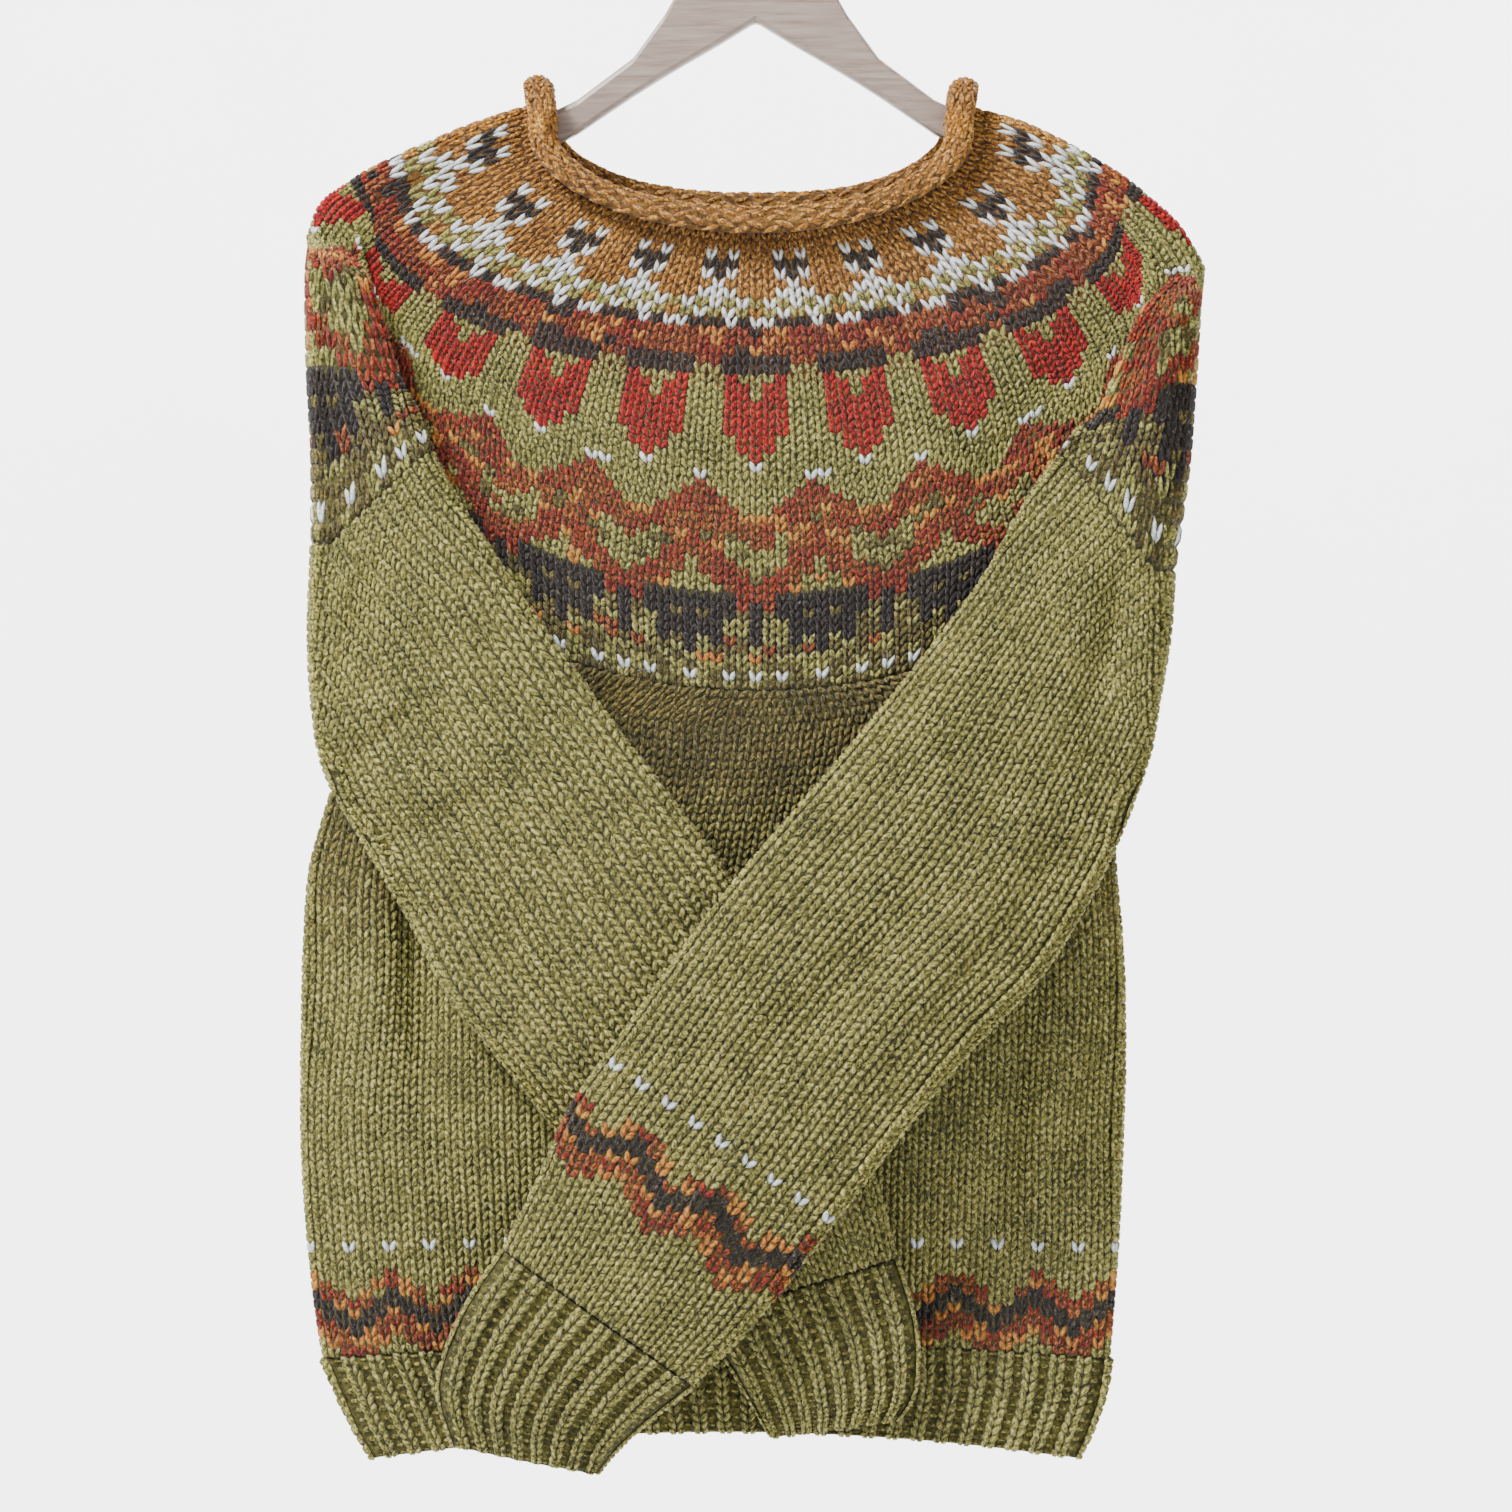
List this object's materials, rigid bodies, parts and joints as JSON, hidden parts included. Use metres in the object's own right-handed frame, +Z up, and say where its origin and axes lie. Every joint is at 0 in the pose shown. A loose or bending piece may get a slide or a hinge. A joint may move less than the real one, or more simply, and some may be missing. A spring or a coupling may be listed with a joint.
{
  "type": "fair isle jumper on a wooden coat hanger",
  "caption": "Hand-knitted jumper with a patterned round yoke, rolled neck and ribbed hem and cuffs, hung on a flat wooden hanger with its sleeves crossed in front.",
  "frame": {"origin": "inside top of the hanger's hook, where a rail holds it", "axes": "+Z up, front of the jumper towards -Y, +X to the right of someone who looks at the front"},
  "size_m": [0.4557, 0.1134, 0.8675],
  "materials": {
    "yoke_wool": "hand-knitted stranded wool in rust, red, ochre, dark brown, green and white",
    "ochre_wool": "hand-knitted ochre wool, purl side out",
    "green_wool": "hand-knitted green heather wool",
    "hanger_beech": "pale beech, satin",
    "hook_steel": "bright plated steel wire"
  },
  "bodies": {
    "root": {"yoke_upper": "yoke_wool", "yoke_lower": "yoke_wool", "neckband": "ochre_wool", "body": "green_wool", "hem_rib": "green_wool", "sleeve_left_upper": "green_wool", "sleeve_left_lower": "green_wool", "sleeve_right_upper": "green_wool", "sleeve_right_lower": "green_wool", "cuff_left": "green_wool", "cuff_right": "green_wool", "hanger_wood": "hanger_beech", "hanger_hook": "hook_steel"}
  },
  "joints": []
}
